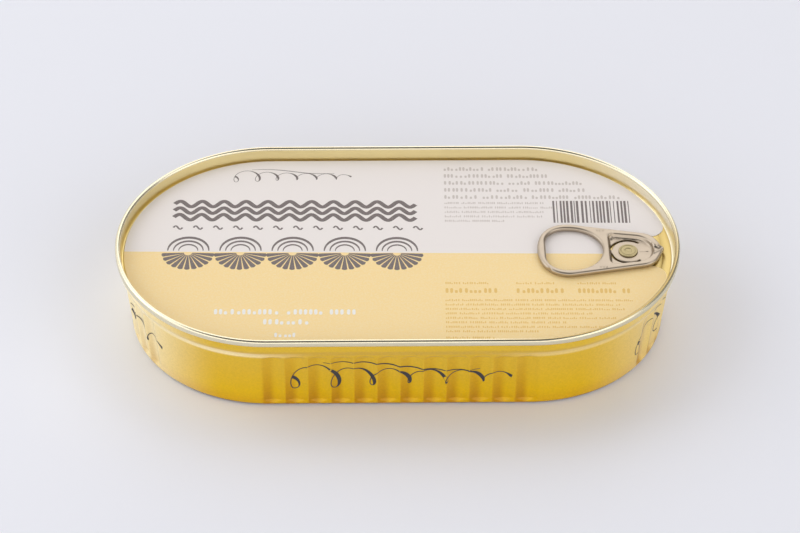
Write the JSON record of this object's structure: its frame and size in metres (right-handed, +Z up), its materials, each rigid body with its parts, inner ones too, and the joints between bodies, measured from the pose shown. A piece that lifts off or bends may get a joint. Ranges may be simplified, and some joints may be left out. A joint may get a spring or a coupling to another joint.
{
  "type": "tin of mackerel",
  "caption": "Shut oval fish tin with fluted gold-coloured sides, an easy-open lid, a ring-pull tab and a two-colour paper label.",
  "frame": {"origin": "middle of the foot, on the surface the tin stands on", "axes": "+Z up through the lid, +X along the tin toward the pull tab's nose, +Y to the back"},
  "size_m": [0.148, 0.0812, 0.0247],
  "materials": {
    "can_gold": "clear gold lacquer on bright tinplate, glossy",
    "lid_gold": "pale gold lacquer on bright metal, glossy",
    "label_paper": "smooth coated paper, satin",
    "tab_metal": "pale champagne metal, satin"
  },
  "bodies": {
    "root": {"can_body": "can_gold", "lid": "lid_gold", "label": "label_paper", "pull_tab": "tab_metal"}
  },
  "joints": []
}
